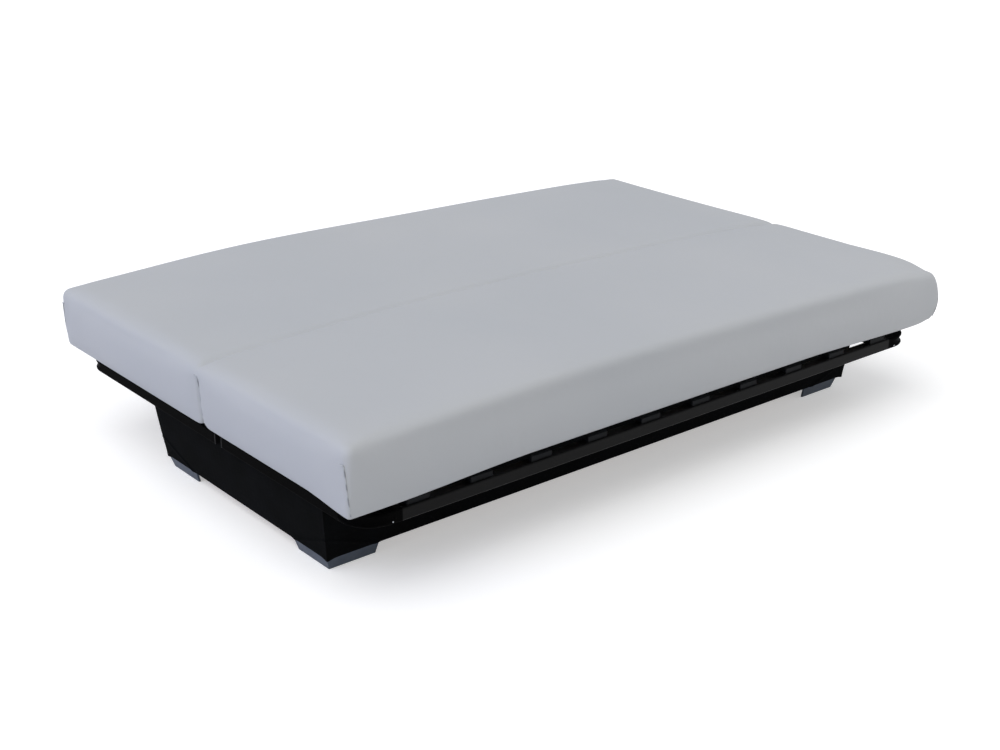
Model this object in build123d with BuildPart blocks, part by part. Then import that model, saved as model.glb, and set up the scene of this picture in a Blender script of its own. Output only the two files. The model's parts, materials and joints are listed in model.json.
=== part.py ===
from build123d import *
import os
from math import cos, radians, sin, sqrt

os.makedirs("parts", exist_ok=True)

# Sofa bed with a fold-down back, shown opened flat as a bed.
# Millimetres. X runs to the right, the front of the seat faces -Y and the floor is Z = 0.
# The origin is on the floor, under the middle of the mattress.

# Mattress
mattress_width = 1900
mattress_depth = 1300
mattress_bottom = 235
mattress_edge_height = 138
mattress_crown = 8
mattress_end_crown = 2
mattress_long_crown = 18
mattress_top_radius = 26
mattress_lower_radius = 14
mattress_corner_radius = 16
mattress_side_pull = 4
mattress_side_bulge = 3
mattress_lower_lean = 10
mattress_station_gap = 64
crease_offset = 56
crease_top_radius = 8
crease_lower_radius = 16
cover_thickness = 6
soft_clearance = 0.3

# Fold of the mattress over the hinge line
seat_wedge_angle = 45
back_wedge_angle = 55

# Steel tube frames of the seat and of the back
frame_end_setback = 42
frame_front_setback = 18
tube_height = 30
tube_width = 28
tube_wall = 1.5
tube_corner_radius = 4
tube_bend_radius = 62
tube_end_gap = 16
inner_rail_gap = 30
bend_groove_radius = 13
bend_groove_depth = 5
bend_groove_fade = 12
plug_flange = 3
plug_depth = 14
plug_play = 0.2

# Sprung slats in plastic end caps
slats_per_frame = 10
slat_end_margin = 135.75
slat_width = 53
slat_thickness = 8
slat_end_clearance = 5
cap_width = 60
cap_length = 36
cap_height = 16
cap_top_gap = 9
cap_slope_drop = 4
cap_slope_length = 6
cap_setback = 5
cap_wall = 5
cap_floor = 2
cap_play = 0.3
pocket_rise = 3.4
cap_edge_radius = 2
peg_radius = 4.5
peg_depth = 8

# Storage box under the frames
box_end_setback = 81
box_front_setback = 213
box_back_setback = 365
box_bottom = 30
box_lean = 18
rest_gap = 0.3
panel_thickness = 12
box_cover_thickness = 1.5
floor_panel_thickness = 5
post_size = 30
post_headroom = 12
panel_play = 0.2

# Feet and their screws
foot_leg = 138
foot_flange_width = 48
foot_flange_thickness = 5
foot_wall = 6
foot_lean = 9
foot_end_lean = 5
foot_inset = 2
foot_corner_radius = 2
right_foot_setback = 20
screw_radius = 2.25
screw_play = 0.1
screw_head_radius = 4.5
screw_head_height = 3
screw_length = 45
screw_spacing = 12

# Ratchet hinge at each end of the crease
pivot_height = 222
hinge_setback = 22
plate_thickness = 4
layer_gap = 0.5
cleat_low = 85
cleat_high = 150
cleat_half_length = 75
arm_end_radius = 11.5
arm_clearance = 4
arm_length = 170
arm_slope = 24
arm_foot_height = 24
arm_corner_radius = 6
arm_bolt_near = 86
arm_bolt_far = 148
boss_radius = 8
bolt_radius = 3
bolt_play = 0.2
bolt_head_radius = 5.5
bolt_head_height = 4
bolt_reach = 12
bolt_end_gap = 0.5
pivot_radius = 4
pivot_play = 0.08
pivot_head_radius = 7.5
pivot_head_height = 5
cleat_bolt_reach = 18
plate_half_length = 64
plate_shoulder_gap = 2
plate_low = 90
plate_bolt_spacing = 80
plate_bolt_height = 115

# Toothed disc of the back arm, its pawl and the pawl's spring
disc_radius = 28
disc_start_angle = -186
disc_end_angle = -72
tooth_width = 5
tooth_play = 0.5
stop_angles = (0, 40, 70)
pawl_reach = 36
pawl_drop = 50
pawl_half_width = 5
pawl_boss_radius = 6
pawl_tail_length = 18
pawl_tail_drop = 6
pawl_tail_radius = 4
pawl_pin_radius = 3
pawl_pin_play = 0.08
pawl_pin_head_radius = 5
pawl_pin_head_height = 2
pawl_swing_angle = 8
pawl_swing_steps = 8
spring_post_radius = 2
spring_post_reach = 8
spring_post_gap = 0.3
slot_width = 9
slot_height = 12
spring_radius = 3.4
spring_wire_radius = 0.6
spring_turns = 10
spring_pitch = 4
spring_stub = 7

# Heights and places that follow from the sizes above
overrun = 5
half_width = mattress_width / 2
mattress_front = -mattress_depth / 2
mattress_back = mattress_depth / 2
crease = -crease_offset
frame_half_width = half_width - frame_end_setback
box_half_width = half_width - box_end_setback
box_front = mattress_front + box_front_setback
box_back = mattress_back - box_back_setback
mattress_top = mattress_bottom + mattress_edge_height
seat_rail_front = mattress_front + frame_front_setback
back_rail_rear = mattress_back - frame_front_setback
slat_top = mattress_bottom - soft_clearance
cap_top = mattress_bottom - cap_top_gap
tube_top = cap_top - cap_height
tube_bottom = tube_top - tube_height
tube_middle = tube_bottom + tube_height / 2
side_tube_inner = frame_half_width - tube_width
side_tube_middle = frame_half_width - tube_width / 2
slat_pitch = 2 * (side_tube_middle - slat_end_margin) / (slats_per_frame - 1)
box_top = tube_bottom - rest_gap
box_height = box_top - box_bottom
box_middle = (box_front + box_back) / 2
board_inset = box_cover_thickness
inner_inset = box_cover_thickness + panel_thickness
board_bottom = box_bottom + box_cover_thickness
board_top = box_top - box_cover_thickness
play_inset = inner_inset + panel_play
inner_rail_far = inner_rail_gap + tube_width
plate_inner_face = side_tube_inner - hinge_setback - plate_thickness
back_arm_face = plate_inner_face + plate_thickness + layer_gap
seat_arm_face = back_arm_face + plate_thickness + layer_gap


def spread(count, pitch):
    """Places of a row of equal pieces, centred on zero."""
    return [(number - (count - 1) / 2) * pitch for number in range(count)]


def finish(piece, name):
    """Label a finished piece and write it out."""
    piece.part.label = name
    export_step(piece.part, f"parts/{name}.step")


def finish_pair(piece, name):
    """Write the right-hand piece, and its mirror image for the left-hand side."""
    with BuildPart() as left:
        mirror(piece.part, about=Plane.YZ)
    finish(left, f"{name}_left")
    finish(piece, f"{name}_right")


# Mattress: two crowned halves that meet at the crease


def corner_loss(distance, radius):
    """How far a rounded edge falls away at a distance from its end."""
    left = max(0, 1 - distance / radius)
    return radius * (1 - sqrt(1 - left**2))


def arc_corner(start, end, centre, radius):
    """The middle point of a rounded corner between two points."""
    along = Vector(*start) + Vector(*end) - Vector(*centre) * 2
    return Vector(*centre) + along.normalized() * radius


def cushion(side, inset):
    """One half of the mattress, drawn in by an inset: side is -1 for the seat, 1 for the back."""
    end_shares = (0, 0.08, 0.3, 0.6, 1)
    middle_shares = (0.66, 0.33, 0)
    near_ends = [share * mattress_top_radius for share in end_shares]
    half = half_width - inset
    ends = [half - gap for gap in near_ends + [mattress_station_gap]]
    ends += [share * half for share in middle_shares]
    stations = [-x for x in ends] + ends[-2::-1]
    fold_end = crease + side * inset
    top_radius = mattress_top_radius - inset
    lower_radius = mattress_lower_radius - inset
    fold_radius = crease_top_radius - inset * crease_top_radius / mattress_lower_radius
    notch_radius = crease_lower_radius - inset
    with BuildPart() as half_mattress:
        for x in stations:
            gap = half - abs(x)
            belly = 1 - (x / half_width) ** 2
            low = mattress_bottom + inset + corner_loss(gap, mattress_lower_radius)
            high = mattress_top - inset - corner_loss(gap, mattress_top_radius)
            high += mattress_long_crown * belly
            reach = mattress_depth / 2 - inset - mattress_side_pull * belly
            reach -= corner_loss(gap, mattress_corner_radius)
            outer = side * reach
            foot = side * (reach - mattress_lower_lean)
            a = (fold_end + side * notch_radius, low)
            b = (foot - side * lower_radius, low)
            c = (foot, low + lower_radius)
            d = (outer, high - top_radius)
            e = (outer - side * top_radius, high)
            f = (fold_end + side * fold_radius, high)
            g = (fold_end, high - fold_radius)
            h = (fold_end, low + notch_radius)
            bulge = ((c[0] + d[0]) / 2 + side * mattress_side_bulge, (c[1] + d[1]) / 2)
            rise = mattress_end_crown + (mattress_crown - mattress_end_crown) * belly
            crown = ((e[0] + f[0]) / 2, high + rise)
            with BuildSketch(Plane.YZ.offset(x)):
                with BuildLine():
                    Line(a, b)
                    ThreePointArc(b, arc_corner(b, c, (b[0], c[1]), lower_radius), c)
                    ThreePointArc(c, bulge, d)
                    ThreePointArc(d, arc_corner(d, e, (e[0], d[1]), top_radius), e)
                    ThreePointArc(e, crown, f)
                    ThreePointArc(f, arc_corner(f, g, (f[0], g[1]), fold_radius), g)
                    Line(g, h)
                    ThreePointArc(h, arc_corner(h, a, (a[0], h[1]), notch_radius), a)
                make_face()
        loft(ruled=True)
    return half_mattress.part


def wedge_plane(side, angle, gap):
    """Face of the fold on one side of the hinge axis, moved away from the fold by a gap."""
    lean = radians(angle)
    away = (0, side * cos(lean), -sin(lean))
    return Plane(origin=(0, crease, pivot_height), x_dir=(1, 0, 0), z_dir=away).offset(gap)


half_names = {-1: "seat", 1: "back"}
wedge_angles = {-1: seat_wedge_angle, 1: back_wedge_angle}
core_inset = cover_thickness + soft_clearance

for side, half_name in half_names.items():
    whole_core = cushion(side, core_inset)
    with BuildPart() as mattress_core:
        add(whole_core)
        split(bisect_by=wedge_plane(side, wedge_angles[side], core_inset), keep=Keep.TOP)
    finish(mattress_core, f"{half_name}_mattress_core")

    whole_cavity = cushion(side, cover_thickness)
    whole_cover = cushion(side, 0)
    with BuildPart() as cavity:
        add(whole_cavity)
        split(bisect_by=wedge_plane(side, wedge_angles[side], cover_thickness), keep=Keep.TOP)
    with BuildPart() as mattress_cover:
        add(whole_cover)
        split(bisect_by=wedge_plane(side, wedge_angles[side], 0), keep=Keep.TOP)
        add(cavity.part, mode=Mode.SUBTRACT)
    finish(mattress_cover, f"{half_name}_mattress_cover")

# Foam and cover over the hinge line, which the fold squeezes together
cheeks = []
for side in half_names:
    whole_cushion = cushion(side, 0)
    with BuildPart() as cheek:
        add(whole_cushion)
        split(bisect_by=wedge_plane(side, wedge_angles[side], -soft_clearance), keep=Keep.BOTTOM)
    cheeks.append(cheek.part)
with BuildPart() as mattress_fold:
    add(cheeks)
finish(mattress_fold, "mattress_fold")

# Frames: a bent tube and a straight inner rail for each half


def rail_line(side):
    """Outer face of the front rail of the seat, or of the rear rail of the back."""
    return seat_rail_front if side < 0 else back_rail_rear


def frame_path(side):
    """Middle line of a bent frame tube, open towards the crease."""
    end = crease + side * tube_end_gap
    rail = rail_line(side) - side * tube_width / 2
    corners = [(-side_tube_middle, end), (-side_tube_middle, rail)]
    corners += [(side_tube_middle, rail), (side_tube_middle, end)]
    with BuildLine(Plane.XY.offset(tube_middle)) as path:
        FilletPolyline(*corners, radius=tube_bend_radius)
    return path.line


def tube_section(plane, inset):
    """Rounded outline of a tube on a plane, drawn in by an inset."""
    width = tube_width - 2 * inset
    height = tube_height - 2 * inset
    with BuildSketch(plane) as section:
        RectangleRounded(width, height, tube_corner_radius - inset)
    return section.sketch


def bent_bar(side, inset):
    """Solid bar along the frame's path, drawn in from the tube's surface by an inset."""
    start = (-side_tube_middle, crease + side * tube_end_gap, tube_middle)
    section = tube_section(Plane(origin=start, x_dir=(1, 0, 0), z_dir=(0, side, 0)), inset)
    path = frame_path(side)
    with BuildPart() as bar:
        sweep(section, path=path)
    return bar.part


def bend_grooves(side, radius):
    """Rings that press a groove into the outside of both bends, deepest at mid bend."""
    rail = rail_line(side) - side * tube_width / 2
    ring = tube_bend_radius + tube_width / 2 + bend_groove_radius - bend_groove_depth
    ring += bend_groove_fade
    with BuildPart() as grooves:
        for end in (-1, 1):
            bend_x = end * (side_tube_middle - tube_bend_radius)
            middle = Vector(bend_x, rail - side * tube_bend_radius, tube_middle)
            middle -= Vector(end, side, 0).normalized() * bend_groove_fade
            straight = Vector(end, 0, 0) if end * side > 0 else Vector(0, side, 0)
            across = straight.cross(Vector(0, 0, 1))
            with BuildSketch(Plane(origin=middle, x_dir=straight, z_dir=across)):
                with Locations((ring, 0)):
                    Circle(radius)
            revolve(axis=Axis(middle, (0, 0, 1)), revolution_arc=90)
    return grooves.part


def along_rail(y_place, z_place):
    """Places of the slats' ends along a rail."""
    return [(x, y_place, z_place) for x in spread(slats_per_frame, slat_pitch)]


for side, half_name in half_names.items():
    outer_rail = rail_line(side) - side * tube_width / 2
    inner_rail_middle = crease + side * (inner_rail_gap + tube_width / 2)
    tube_end = crease + side * tube_end_gap

    inner_bar = bent_bar(side, tube_wall)
    deep_grooves = bend_grooves(side, bend_groove_radius + tube_wall)
    with BuildPart() as tube_bore:
        add(inner_bar)
        add(deep_grooves, mode=Mode.SUBTRACT)
    outer_bar = bent_bar(side, 0)
    grooves = bend_grooves(side, bend_groove_radius)
    with BuildPart() as frame_tube:
        add(outer_bar)
        add(grooves, mode=Mode.SUBTRACT)
        add(tube_bore.part, mode=Mode.SUBTRACT)
        with Locations(*along_rail(outer_rail, tube_top)):
            Cylinder(peg_radius + cap_play, 2 * peg_depth, mode=Mode.SUBTRACT)
        with Locations(
            (0, crease + side * arm_bolt_near, tube_middle),
            (0, crease + side * arm_bolt_far, tube_middle),
        ):
            Cylinder(
                bolt_radius + bolt_play,
                2 * (side_tube_inner + bolt_reach),
                rotation=(0, 90, 0),
                mode=Mode.SUBTRACT,
            )
    finish(frame_tube, f"{half_name}_frame_tube")

    rail_start = (-side_tube_inner, inner_rail_middle, tube_middle)
    rail_plane = Plane(origin=rail_start, x_dir=(0, 1, 0), z_dir=(1, 0, 0))
    rail_outline = tube_section(rail_plane, 0)
    rail_hollow = tube_section(rail_plane, tube_wall)
    with BuildPart() as inner_rail:
        extrude(rail_outline, amount=2 * side_tube_inner)
        extrude(rail_hollow, amount=2 * side_tube_inner, mode=Mode.SUBTRACT)
        with Locations(*along_rail(inner_rail_middle, tube_top)):
            Cylinder(peg_radius + cap_play, 2 * peg_depth, mode=Mode.SUBTRACT)
    finish(inner_rail, f"{half_name}_inner_rail")

    plug_place = (side_tube_middle, tube_end, tube_middle)
    plug_plane = Plane(origin=plug_place, x_dir=(1, 0, 0), z_dir=(0, -side, 0))
    flange = tube_section(plug_plane, 0)
    insert = tube_section(plug_plane, tube_wall + plug_play)
    with BuildPart() as tube_plugs:
        extrude(flange, amount=plug_flange)
        extrude(insert, amount=-plug_depth)
        mirror(about=Plane.YZ)
    finish(tube_plugs, f"{half_name}_tube_plugs")

# Slats in their end caps
pocket_height = slat_thickness + 2 * cap_play + pocket_rise
on_base = (Align.CENTER, Align.CENTER, Align.MIN)
under_top = (Align.CENTER, Align.CENTER, Align.MAX)


def cap_outline(face, inward):
    """Corners of a cap seen from its end: low at the rail's face, sloping up to its flat top."""
    near = face + inward * cap_setback
    far = near + inward * cap_length
    slope_end = near + inward * cap_slope_length
    corners = [(near, tube_top), (far, tube_top), (far, cap_top)]
    return corners + [(slope_end, cap_top), (near, cap_top - cap_slope_drop)]


for side, half_name in half_names.items():
    cap_rows = ((rail_line(side), -side), (crease + side * inner_rail_gap, side))
    with BuildPart() as slat_caps:
        for face, inward in cap_rows:
            corners = cap_outline(face, inward)
            for x in spread(slats_per_frame, slat_pitch):
                with BuildSketch(Plane.YZ.offset(x - cap_width / 2)):
                    with BuildLine():
                        Polyline(*corners, close=True)
                    make_face()
                extrude(amount=cap_width)
        fillet(slat_caps.edges().filter_by(Axis.Z), radius=cap_edge_radius)
        chamfer(slat_caps.faces().group_by(Axis.Z)[-1].edges(), length=cap_edge_radius / 2)
        for face, inward in cap_rows:
            middle = face + inward * (cap_setback + cap_length / 2)
            with Locations(*along_rail(middle + inward * cap_wall, tube_top + cap_floor)):
                Box(
                    slat_width + 2 * cap_play,
                    cap_length,
                    pocket_height,
                    align=on_base,
                    mode=Mode.SUBTRACT,
                )
            with Locations(*along_rail(face + inward * tube_width / 2, tube_top)):
                Cylinder(peg_radius, peg_depth, align=under_top)
    finish(slat_caps, f"{half_name}_slat_caps")

    slat_inset = cap_setback + cap_wall + slat_end_clearance
    outer_end = rail_line(side) - side * slat_inset
    inner_end = crease + side * (inner_rail_gap + slat_inset)
    slat_middle = (outer_end + inner_end) / 2
    slat_low = tube_top + cap_floor + cap_play
    slat_high = slat_low + slat_thickness
    for number, x in enumerate(spread(slats_per_frame, slat_pitch), start=1):
        with BuildPart() as slat:
            with BuildSketch(Plane.YZ.offset(x - slat_width / 2)):
                with BuildLine():
                    Line((outer_end, slat_low), (outer_end, slat_high))
                    ThreePointArc(
                        (outer_end, slat_high),
                        (slat_middle, slat_top),
                        (inner_end, slat_high),
                    )
                    Line((inner_end, slat_high), (inner_end, slat_low))
                    ThreePointArc(
                        (inner_end, slat_low),
                        (slat_middle, slat_top - slat_thickness),
                        (outer_end, slat_low),
                    )
                make_face()
            extrude(amount=slat_width)
        finish(slat, f"{half_name}_slat_{number}")

# Storage box: leaning boards, a floor panel and a black cover


def box_growth(height):
    """How far the leaning walls have moved out from the bottom of the box to a height."""
    return box_lean * (height - box_bottom) / box_height


def box_block(low, high, side_inset, end_inset):
    """Block between two heights that follows the leaning walls, drawn in by two insets."""
    with BuildPart() as block:
        for z in (low, high):
            wide = 2 * (box_half_width + box_growth(z) - side_inset)
            deep = box_back - box_front + 2 * (box_growth(z) - end_inset)
            with BuildSketch(Plane.XY.offset(z)):
                with Locations((0, box_middle)):
                    Rectangle(wide, deep)
        loft()
    return block.part


outer_block = box_block(box_bottom, box_top, 0, 0)
board_block = box_block(board_bottom, board_top, board_inset, board_inset)
inner_block = box_block(box_bottom - overrun, box_top + overrun, inner_inset, inner_inset)
with BuildPart() as box_cover:
    add(outer_block)
    add(board_block, mode=Mode.SUBTRACT)
    add(inner_block, mode=Mode.SUBTRACT)
finish(box_cover, "box_cover")

between_block = box_block(board_bottom - overrun, board_top + overrun, -overrun, inner_inset)
middle_plane = Plane(origin=(0, box_middle, 0), x_dir=(1, 0, 0), z_dir=(0, 1, 0))
for name, kept in (("box_back_board", Keep.TOP), ("box_front_board", Keep.BOTTOM)):
    with BuildPart() as long_board:
        add(board_block)
        add(between_block, mode=Mode.SUBTRACT)
        split(bisect_by=middle_plane, keep=kept)
    finish(long_board, name)

plate_bolt_row = [
    (0, crease - plate_bolt_spacing / 2, plate_bolt_height),
    (0, crease + plate_bolt_spacing / 2, plate_bolt_height),
]
cleat_bolt_end = plate_inner_face + cleat_bolt_reach
end_block = box_block(board_bottom, board_top, board_inset, inner_inset)
for name, kept in (("box_right_board", Keep.TOP), ("box_left_board", Keep.BOTTOM)):
    with BuildPart() as side_board:
        add(end_block)
        add(inner_block, mode=Mode.SUBTRACT)
        with Locations(*plate_bolt_row):
            Cylinder(
                bolt_radius + bolt_play,
                2 * (cleat_bolt_end + bolt_end_gap),
                rotation=(0, 90, 0),
                mode=Mode.SUBTRACT,
            )
        split(bisect_by=Plane.YZ, keep=kept)
    finish(side_board, name)


def corner_point(sign_x, sign_y, inset, height):
    """Point at a corner of the box at a height, drawn in by an inset; right feet sit further in."""
    x = sign_x * (box_half_width + box_growth(height) - inset)
    y = box_middle + sign_y * ((box_back - box_front) / 2 + box_growth(height) - inset)
    if sign_x > 0:
        x -= right_foot_setback
    return (x, y)


corner_names = {
    (-1, -1): "front_left",
    (1, -1): "front_right",
    (-1, 1): "back_left",
    (1, 1): "back_right",
}
screw_row = []
for sign_x, sign_y in corner_names:
    x, y = corner_point(sign_x, sign_y, play_inset + post_size / 2, box_bottom)
    step = screw_spacing / 2
    screw_row.append((x - sign_x * step, y + sign_y * step, 0))
    screw_row.append((x + sign_x * step, y - sign_y * step, 0))
floor_top = box_bottom + floor_panel_thickness

floor_block = box_block(box_bottom, floor_top, play_inset, play_inset)
with BuildPart() as box_floor:
    add(floor_block)
    with Locations(*screw_row):
        Cylinder(screw_radius + screw_play, screw_length, align=on_base, mode=Mode.SUBTRACT)
finish(box_floor, "box_floor")

corner_post_parts = []
for sign_x, sign_y in corner_names:
    with BuildPart() as corner_post:
        for z in (floor_top, board_top - post_headroom):
            x, y = corner_point(sign_x, sign_y, play_inset + post_size / 2, z)
            with BuildSketch(Plane.XY.offset(z)):
                with Locations((x, y)):
                    Rectangle(post_size, post_size)
        loft()
    corner_post_parts.append(corner_post.part)
with BuildPart() as corner_posts:
    add(corner_post_parts)
    with Locations(*screw_row):
        Cylinder(
            screw_radius + screw_play,
            box_bottom + screw_length + bolt_end_gap,
            align=on_base,
            mode=Mode.SUBTRACT,
        )
finish(corner_posts, "corner_posts")

# Feet: angled corner walls under a flange, narrower at the floor


def foot_outline(sign_x, sign_y, height, inset, leg, width):
    """Angle shape of a foot at a height, with its corner drawn in by an inset."""
    x, y = corner_point(sign_x, sign_y, foot_inset + inset, box_bottom)
    steps = [(0, 0), (leg, 0), (leg, width), (width, width), (width, leg), (0, leg)]
    with BuildSketch(Plane.XY.offset(height)) as outline:
        with BuildLine():
            Polyline(*[(x - sign_x * a, y - sign_y * b) for a, b in steps], close=True)
        make_face()
        fillet(outline.vertices(), radius=foot_corner_radius)
    return outline.sketch


flange_low = box_bottom - foot_flange_thickness
sole_leg = foot_leg - foot_lean - foot_end_lean
for (sign_x, sign_y), corner_name in corner_names.items():
    sole = foot_outline(sign_x, sign_y, 0, foot_lean, sole_leg, foot_wall)
    wall_top = foot_outline(sign_x, sign_y, box_bottom, 0, foot_leg, foot_wall)
    flange_leg = foot_leg - foot_inset - foot_end_lean
    flange = foot_outline(sign_x, sign_y, flange_low, foot_inset, flange_leg, foot_flange_width)
    with BuildPart() as foot:
        loft([sole, wall_top])
        extrude(flange, amount=foot_flange_thickness)
        with Locations(*screw_row):
            Cylinder(screw_radius + screw_play, 2 * box_bottom, mode=Mode.SUBTRACT)
    finish(foot, f"foot_{corner_name}")

with BuildPart() as foot_screws:
    with Locations(*[(x, y, flange_low) for x, y, z in screw_row]):
        Cylinder(screw_radius, screw_length, align=on_base)
        Cylinder(screw_head_radius, screw_head_height, align=under_top)
finish(foot_screws, "foot_screws")

# Hinges: base plates in the box, arms on the frames, a toothed disc and its pawl


def hinge_plane(x):
    """Plane across the hinge axis at x, with its origin on the axis and Y pointing up."""
    return Plane(origin=(x, crease, pivot_height), x_dir=(0, 1, 0), z_dir=(1, 0, 0))


def turned(point, angle):
    """A point turned about the hinge axis."""
    a = radians(angle)
    return (point[0] * cos(a) - point[1] * sin(a), point[0] * sin(a) + point[1] * cos(a))


plate_top_line = tube_bottom - plate_shoulder_gap - pivot_height
pawl_pivot = (-pawl_reach, -pawl_drop)
pawl_tail = (-pawl_reach - pawl_tail_length, -pawl_drop - pawl_tail_drop)
tail_travel = pawl_tail_length * sin(radians(pawl_swing_angle))
spring_height = spring_turns * spring_pitch
post_clear = spring_post_radius + spring_post_gap
anchor_drop = 2 * (post_clear + spring_stub) + spring_height
spring_anchor = (pawl_tail[0], pawl_tail[1] - anchor_drop)
post_end = plate_inner_face - spring_post_reach
pawl_outer_face = back_arm_face + plate_thickness

with BuildPart() as hinge_cleat:
    with BuildSketch(Plane.XZ.offset(-crease - cleat_half_length)):
        with BuildLine():
            Polyline(
                (plate_inner_face + plate_thickness, cleat_low),
                (box_half_width + box_growth(cleat_low) - play_inset, cleat_low),
                (box_half_width + box_growth(cleat_high) - play_inset, cleat_high),
                (plate_inner_face + plate_thickness, cleat_high),
                close=True,
            )
        make_face()
    extrude(amount=2 * cleat_half_length)
    with Locations(*plate_bolt_row):
        Cylinder(
            bolt_radius + bolt_play,
            2 * (cleat_bolt_end + bolt_end_gap),
            rotation=(0, 90, 0),
            mode=Mode.SUBTRACT,
        )
    mirror(about=Plane.YZ)
finish(hinge_cleat, "hinge_cleats")

with BuildPart() as base_plate:
    with BuildSketch(hinge_plane(plate_inner_face)):
        with Locations((0, (plate_low - pivot_height + plate_top_line) / 2)):
            Rectangle(2 * plate_half_length, plate_top_line - plate_low + pivot_height)
        with Locations((0, plate_top_line / 2)):
            Rectangle(2 * arm_end_radius, -plate_top_line)
        Circle(arm_end_radius)
        Circle(pivot_radius + pivot_play, mode=Mode.SUBTRACT)
        with Locations((pawl_tail[0], pawl_tail[1] - tail_travel / 2)):
            Rectangle(slot_width, slot_height, mode=Mode.SUBTRACT)
        with Locations(*[(y - crease, z - pivot_height) for x, y, z in plate_bolt_row]):
            Circle(bolt_radius + bolt_play, mode=Mode.SUBTRACT)
    extrude(amount=plate_thickness)
    with BuildSketch(hinge_plane(plate_inner_face)):
        with Locations(pawl_pivot):
            Circle(pawl_pin_radius)
    extrude(amount=pawl_outer_face + layer_gap - plate_inner_face)
    with BuildSketch(hinge_plane(pawl_outer_face + layer_gap)):
        with Locations(pawl_pivot):
            Circle(pawl_pin_head_radius)
    extrude(amount=pawl_pin_head_height)
    with BuildSketch(hinge_plane(post_end)):
        with Locations(spring_anchor):
            Circle(spring_post_radius)
    extrude(amount=spring_post_reach)
finish_pair(base_plate, "base_plate")

with BuildPart() as base_plate_bolts:
    for _, y, z in plate_bolt_row:
        bolt_place = (y - crease, z - pivot_height)
        with BuildSketch(hinge_plane(plate_inner_face - bolt_head_height)):
            with Locations(bolt_place):
                RegularPolygon(bolt_head_radius, 6)
        extrude(amount=bolt_head_height)
        with BuildSketch(hinge_plane(plate_inner_face)):
            with Locations(bolt_place):
                Circle(bolt_radius)
        extrude(amount=cleat_bolt_reach)
    mirror(about=Plane.YZ)
finish(base_plate_bolts, "base_plate_bolts")

rivet_end = seat_arm_face + plate_thickness + layer_gap
with BuildPart() as pivot_rivets:
    with BuildSketch(hinge_plane(plate_inner_face - pivot_head_height)):
        Circle(pivot_head_radius)
    extrude(amount=pivot_head_height)
    with BuildSketch(hinge_plane(plate_inner_face)):
        Circle(pivot_radius)
    extrude(amount=rivet_end - plate_inner_face)
    with BuildSketch(hinge_plane(rivet_end)):
        Circle(pivot_head_radius)
    extrude(amount=pivot_head_height)
    mirror(about=Plane.YZ)
finish(pivot_rivets, "pivot_rivets")


def arm_outline(side, face):
    """Flat outline of a hinge arm that steps over the inner rail and down to the side tube."""
    step_start = inner_rail_far + arm_clearance
    step_end = step_start + arm_slope
    foot_middle = tube_middle - pivot_height
    foot_top = foot_middle + arm_foot_height / 2
    foot_low = foot_middle - arm_foot_height / 2
    edge = [(0, arm_end_radius), (step_start, arm_end_radius), (step_end, foot_top)]
    edge += [(arm_length, foot_top), (arm_length, foot_low), (step_end, foot_low)]
    edge += [(step_start, -arm_end_radius), (0, -arm_end_radius)]
    with BuildSketch(hinge_plane(face)) as outline:
        with BuildLine():
            Polyline(*[(side * y, z) for y, z in edge], close=True)
        make_face()
        end_corners = outline.vertices().group_by(Axis.Y)[-1 if side > 0 else 0]
        fillet(end_corners, radius=arm_corner_radius)
        Circle(arm_end_radius)
    return outline.sketch


arm_faces = {-1: seat_arm_face, 1: back_arm_face}
for side, half_name in half_names.items():
    face = arm_faces[side]
    blade = arm_outline(side, face)
    bolt_row = [(side * arm_bolt_near, tube_middle - pivot_height)]
    bolt_row.append((side * arm_bolt_far, tube_middle - pivot_height))
    with BuildPart() as arm:
        extrude(blade, amount=plate_thickness)
        if side > 0:
            with BuildSketch(hinge_plane(face)):
                disc_start = turned((disc_radius, 0), disc_start_angle)
                disc_end = turned((disc_radius, 0), disc_end_angle)
                with BuildLine():
                    Line((0, 0), disc_start)
                    ThreePointArc(
                        disc_start,
                        turned((disc_radius, 0), (disc_start_angle + disc_end_angle) / 2),
                        disc_end,
                    )
                    Line(disc_end, (0, 0))
                make_face()
                tooth_rise = pawl_drop - disc_radius
                for stop in stop_angles:
                    for swing_step in range(pawl_swing_steps + 1):
                        swing = pawl_swing_angle * swing_step / pawl_swing_steps
                        ahead, above = turned((pawl_reach, tooth_rise / 2), swing)
                        centre = turned((pawl_pivot[0] + ahead, pawl_pivot[1] + above), -stop)
                        with Locations(centre):
                            Rectangle(
                                tooth_width + 2 * tooth_play,
                                tooth_rise,
                                rotation=swing - stop,
                                mode=Mode.SUBTRACT,
                            )
            extrude(amount=plate_thickness)
        with BuildSketch(hinge_plane(face + plate_thickness)):
            with Locations(*bolt_row):
                Circle(boss_radius)
        extrude(amount=side_tube_inner - face - plate_thickness)
        with BuildSketch(hinge_plane(face)):
            Circle(pivot_radius + pivot_play)
            with Locations(*bolt_row):
                Circle(bolt_radius + bolt_play)
        extrude(amount=side_tube_inner - face, mode=Mode.SUBTRACT)
    finish_pair(arm, f"{half_name}_arm")

    with BuildPart() as arm_bolts:
        with BuildSketch(hinge_plane(face - bolt_head_height)):
            with Locations(*bolt_row):
                RegularPolygon(bolt_head_radius, 6)
        extrude(amount=bolt_head_height)
        with BuildSketch(hinge_plane(face)):
            with Locations(*bolt_row):
                Circle(bolt_radius)
        extrude(amount=side_tube_inner + bolt_reach - bolt_end_gap - face)
        mirror(about=Plane.YZ)
    finish(arm_bolts, f"{half_name}_arm_bolts")

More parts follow.
